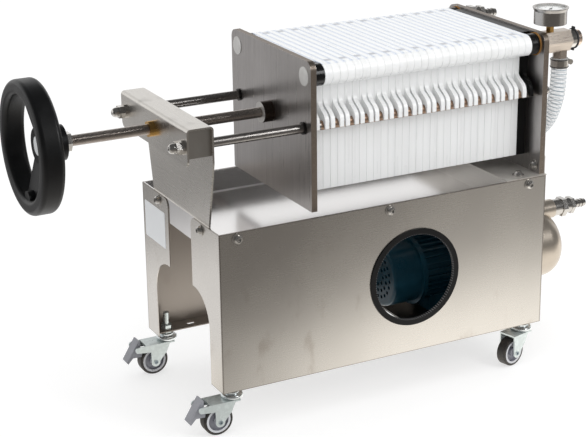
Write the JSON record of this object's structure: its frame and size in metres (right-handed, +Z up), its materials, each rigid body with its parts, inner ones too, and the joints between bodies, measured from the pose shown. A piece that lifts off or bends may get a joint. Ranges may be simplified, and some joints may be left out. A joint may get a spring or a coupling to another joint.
{
  "type": "plate filter press",
  "caption": "Wheeled plate filter press: a handwheel screw closes a pack of hanging plastic plates between two steel heads, over a drip tray cart that holds the pump.",
  "frame": {"origin": "on the floor, midway along the length from the handwheel rim to the suction tail's tip and on the middle plane of the cart", "axes": "+X along the tie rods towards the pump end, +Y towards the rear side panel, +Z up"},
  "size_m": [1.0496, 0.3108, 0.6135],
  "materials": {
    "brushed_sheet": "fine brushed stainless sheet",
    "head_steel": "dull rolled steel plate with sawn edges",
    "bright_steel": "bright turned steel",
    "manifold_steel": "drawn hexagon bar",
    "brass": "turned brass",
    "white_plastic": "moulded white plastic",
    "black_plastic": "moulded black plastic",
    "black_rubber": "black rubber",
    "fibre": "brown fibre washer",
    "motor_paint": "dark teal enamel",
    "shelf_steel": "black painted plate",
    "clear_hose": "clear plastic with a wire coil",
    "dial": "white printed dial",
    "glass": "clear window",
    "zinc": "zinc plated pressing",
    "tyre": "black rubber tread",
    "hub_plastic": "light grey moulding",
    "pedal_plastic": "grey moulding"
  },
  "bodies": {
    "frame": {"front_side_panel": "brushed_sheet", "rear_side_panel": "brushed_sheet", "drip_tray": "brushed_sheet", "head_bracket": "brushed_sheet", "press_upright": "brushed_sheet", "fixed_head": "head_steel", "front_tie_rod": "bright_steel", "rear_tie_rod": "bright_steel", "tie_rod_nuts": "bright_steel", "manifold_plug_ring": "bright_steel", "suction_tail": "bright_steel", "outlet_tail": "bright_steel", "gauge_case": "bright_steel", "pump_body": "bright_steel", "hose_clamps": "bright_steel", "inlet_manifold": "manifold_steel", "spindle_nut": "brass", "gauge_brass": "brass", "manifold_plug_disc": "brass", "filter_plates_odd": "white_plastic", "filter_plates_even": "white_plastic", "fixed_end_plate": "black_plastic", "beam_end_caps": "black_plastic", "window_trim": "black_rubber", "fixed_port_seals": "black_rubber", "fixed_seal_rings": "fibre", "motor_body": "motor_paint", "fan_cowl": "motor_paint", "pump_shelf": "shelf_steel", "pressure_hose": "clear_hose", "gauge_dial": "dial", "gauge_glass": "glass", "caster_studs": "zinc"},
    "moving_head": {"moving_head": "head_steel", "moving_end_plate": "white_plastic", "moving_port_seals": "black_rubber", "moving_seal_rings": "fibre", "rod_bushes": "black_plastic", "port_plugs": "bright_steel", "thrust_collar": "bright_steel"},
    "screw": {"spindle": "bright_steel", "handwheel": "black_plastic", "hub_cap": "bright_steel", "jam_nut": "bright_steel"},
    "left_front_swivel": {"left_front_fork": "zinc"},
    "left_front_wheel": {"left_front_wheel_hub": "hub_plastic", "left_front_tyre": "tyre"},
    "left_front_brake": {"left_front_pedal": "pedal_plastic"},
    "left_rear_swivel": {"left_rear_fork": "zinc"},
    "left_rear_wheel": {"left_rear_wheel_hub": "hub_plastic", "left_rear_tyre": "tyre"},
    "left_rear_brake": {"left_rear_pedal": "pedal_plastic"},
    "right_front_swivel": {"right_front_fork": "zinc"},
    "right_front_wheel": {"right_front_wheel_hub": "hub_plastic", "right_front_tyre": "tyre"},
    "right_rear_swivel": {"right_rear_fork": "zinc"},
    "right_rear_wheel": {"right_rear_wheel_hub": "hub_plastic", "right_rear_tyre": "tyre"}
  },
  "joints": [
    {"name": "head_slide", "type": "slide", "parent": "frame", "child": "moving_head", "axis": [-1, 0, 0], "range_m": [0, 0.128]},
    {"name": "screw_turn", "type": "hinge", "parent": "moving_head", "child": "screw", "pos_m": [0, 0, 0.473], "axis": [-1, 0, 0], "range_deg": [0, 11520]},
    {"name": "left_front_swivel_turn", "type": "hinge", "parent": "frame", "child": "left_front_swivel", "pos_m": [-0.2492, -0.13, 0.066], "axis": [0, 0, 1], "continuous": true},
    {"name": "left_front_wheel_spin", "type": "hinge", "parent": "left_front_swivel", "child": "left_front_wheel", "pos_m": [-0.2772, -0.13, 0.025], "axis": [0, 1, 0], "continuous": true},
    {"name": "left_front_brake_release", "type": "hinge", "parent": "left_front_swivel", "child": "left_front_brake", "pos_m": [-0.3082, -0.13, 0.052], "axis": [0, 1, 0], "range_deg": [0, 12]},
    {"name": "left_rear_swivel_turn", "type": "hinge", "parent": "frame", "child": "left_rear_swivel", "pos_m": [-0.2492, 0.13, 0.066], "axis": [0, 0, 1], "continuous": true},
    {"name": "left_rear_wheel_spin", "type": "hinge", "parent": "left_rear_swivel", "child": "left_rear_wheel", "pos_m": [-0.2772, 0.13, 0.025], "axis": [0, 1, 0], "continuous": true},
    {"name": "left_rear_brake_release", "type": "hinge", "parent": "left_rear_swivel", "child": "left_rear_brake", "pos_m": [-0.3082, 0.13, 0.052], "axis": [0, 1, 0], "range_deg": [0, 12]},
    {"name": "right_front_swivel_turn", "type": "hinge", "parent": "frame", "child": "right_front_swivel", "pos_m": [0.3028, -0.13, 0.066], "axis": [0, 0, 1], "continuous": true},
    {"name": "right_front_wheel_spin", "type": "hinge", "parent": "right_front_swivel", "child": "right_front_wheel", "pos_m": [0.27575, -0.13725, 0.025], "axis": [-0.2588, 0.9659, 0], "continuous": true},
    {"name": "right_rear_swivel_turn", "type": "hinge", "parent": "frame", "child": "right_rear_swivel", "pos_m": [0.3028, 0.13, 0.066], "axis": [0, 0, 1], "continuous": true},
    {"name": "right_rear_wheel_spin", "type": "hinge", "parent": "right_rear_swivel", "child": "right_rear_wheel", "pos_m": [0.27575, 0.13725, 0.025], "axis": [0.2588, 0.9659, 0], "continuous": true}
  ],
  "couplings": [
    {"joint": "head_slide", "follows": "screw_turn", "m_per_rad": 0.00063662}
  ]
}
